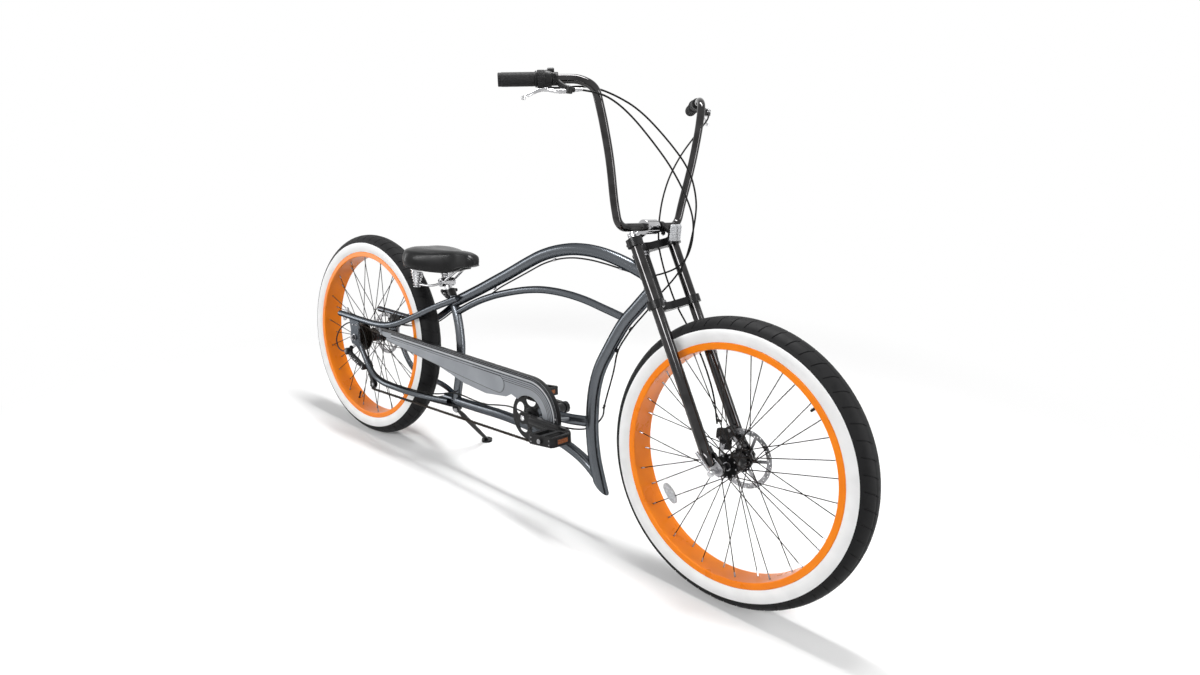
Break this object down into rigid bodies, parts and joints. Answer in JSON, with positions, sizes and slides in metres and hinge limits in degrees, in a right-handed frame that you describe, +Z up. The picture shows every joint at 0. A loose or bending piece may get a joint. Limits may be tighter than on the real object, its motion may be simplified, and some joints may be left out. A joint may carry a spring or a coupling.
{
  "type": "chopper cruiser bicycle",
  "caption": "Long low cruiser bicycle with high handlebar, curved frame, wide whitewall tyres, raked double-crown fork, chain guard and side stand, leaning on its stand.",
  "frame": {"origin": "middle of the bounding box on the floor under the tyres and the stand foot", "axes": "+X towards the front wheel along the bicycle, +Y to the rider left, +Z up; the bicycle leans 6.92 degrees to its left"},
  "size_m": [2.3738, 0.808, 1.3348],
  "materials": {
    "black_metal": "gloss black",
    "cable_cover": "smooth black housing",
    "chrome": "polished",
    "dark_chrome": "smoked, polished",
    "dark_steel": "blackened",
    "frame_paint": "satin graphite grey",
    "grip_rubber": "matt",
    "guard_plastic": "ribbed grey",
    "orange_metal": "gloss orange",
    "plastic": "moulded",
    "reflector_clear": "prismatic",
    "steel": "bright",
    "tyre_rubber": "black with a white side wall",
    "vinyl": "black vinyl, satin"
  },
  "bodies": {
    "frame": {"head_tube": "frame_paint", "bottom_bracket_shell": "frame_paint", "down_tube": "frame_paint", "seat_tube": "frame_paint", "bottom_tube": "frame_paint", "top_tube": "frame_paint", "arch_tube": "frame_paint", "bracket_tube": "frame_paint", "upper_stays": "frame_paint", "chain_stays": "frame_paint", "dropouts": "frame_paint", "rear_axle": "steel", "chain": "dark_steel", "rear_derailleur": "dark_steel", "rear_brake_caliper": "black_metal", "chain_guard": "guard_plastic", "seat_post": "chrome", "seat_clamp": "black_metal", "saddle": "vinyl", "saddle_springs": "chrome", "stand_bracket": "black_metal", "rear_brake_cable": "cable_cover", "shift_cable": "cable_cover"},
    "steering": {"steerer": "chrome", "fork_crowns": "black_metal", "fork_legs": "dark_chrome", "front_axle": "steel", "front_brake_caliper": "black_metal", "handlebar": "chrome", "grips": "grip_rubber", "twist_shifter": "plastic", "brake_levers": "chrome", "stem": "chrome", "front_reflector": "reflector_clear", "front_brake_cable": "cable_cover", "steering_cables": "cable_cover"},
    "front_wheel": {"front_tyre": "tyre_rubber", "front_rim": "orange_metal", "front_spokes": "dark_steel", "front_hub": "dark_steel", "front_brake_rotor": "steel"},
    "rear_wheel": {"rear_tyre": "tyre_rubber", "rear_rim": "orange_metal", "rear_spokes": "dark_steel", "rear_hub": "dark_steel", "rear_brake_rotor": "steel", "rear_sprockets": "dark_steel"},
    "crank": {"crank_right": "black_metal", "crank_left": "black_metal", "crank_spindle": "dark_steel", "chainring": "black_metal"},
    "pedal_right": {"pedal_right": "plastic"},
    "pedal_left": {"pedal_left": "plastic"},
    "stand": {"side_stand": "black_metal"}
  },
  "joints": [
    {"name": "steering", "type": "hinge", "parent": "frame", "child": "steering", "pos_m": [0.44249, -0.04896, 0.86368], "axis": [-0.503, 0.1041, 0.858], "range_deg": [-45, 45], "deforming": ["steering_cables"]},
    {"name": "front_wheel_spin", "type": "hinge", "parent": "steering", "child": "front_wheel", "pos_m": [0.807, -0.10796, 0.37754], "axis": [0, 0.9927, -0.1205], "continuous": true},
    {"name": "rear_wheel_spin", "type": "hinge", "parent": "frame", "child": "rear_wheel", "pos_m": [-0.807, -0.10796, 0.37754], "axis": [0, 0.9927, -0.1205], "continuous": true},
    {"name": "crank_spin", "type": "hinge", "parent": "frame", "child": "crank", "pos_m": [0.123, -0.11446, 0.32393], "axis": [0, 0.9927, -0.1205], "continuous": true},
    {"name": "pedal_right_spin", "type": "hinge", "parent": "crank", "child": "pedal_right", "pos_m": [0.29799, -0.25322, 0.34262], "axis": [0, 0.9927, -0.1205], "continuous": true},
    {"name": "pedal_left_spin", "type": "hinge", "parent": "crank", "child": "pedal_left", "pos_m": [-0.05199, 0.0243, 0.30524], "axis": [0, 0.9927, -0.1205], "continuous": true},
    {"name": "stand_fold", "type": "hinge", "parent": "frame", "child": "stand", "pos_m": [-0.345, -0.09132, 0.19923], "axis": [-0.3559, 0.9201, 0.1633], "range_deg": [0, 90]}
  ]
}
